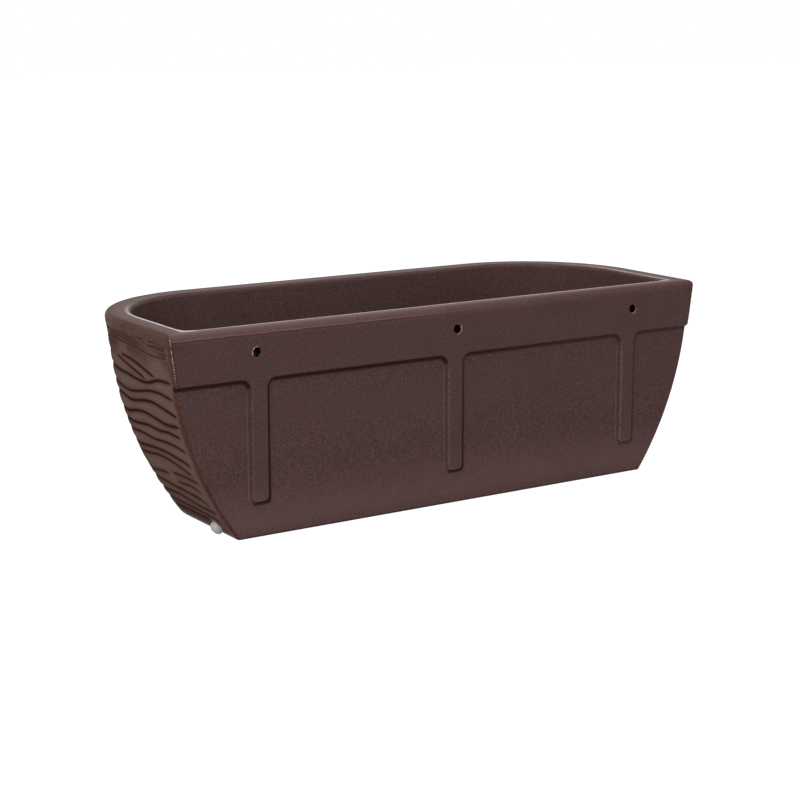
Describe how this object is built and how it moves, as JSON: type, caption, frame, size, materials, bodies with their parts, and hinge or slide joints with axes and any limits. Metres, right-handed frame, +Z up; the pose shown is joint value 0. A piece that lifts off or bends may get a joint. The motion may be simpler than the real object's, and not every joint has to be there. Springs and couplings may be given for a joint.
{
  "type": "window box planter",
  "caption": "Long D-shaped planter trough with a flat ribbed back to bolt on, rippled curved front and ends, and a drain plug.",
  "frame": {"origin": "bottom centre of the whole part: mid-length, mid-depth, on the base", "axes": "+X along the length towards the drain end, +Y out of the flat back that is bolted to a wall or sill, +Z up to the rim"},
  "size_m": [0.7112, 0.275, 0.2286],
  "materials": {
    "planter_plastic": "matte, finely speckled dark brown",
    "plug_rubber": "matte, pale grey"
  },
  "bodies": {
    "planter": {"planter_body": "planter_plastic"},
    "plug": {"drain_plug": "plug_rubber"}
  },
  "joints": [
    {"name": "plug_pull", "type": "slide", "parent": "planter", "child": "plug", "axis": [0.8158, 0, -0.5783], "range_m": [0, 0.016]}
  ]
}
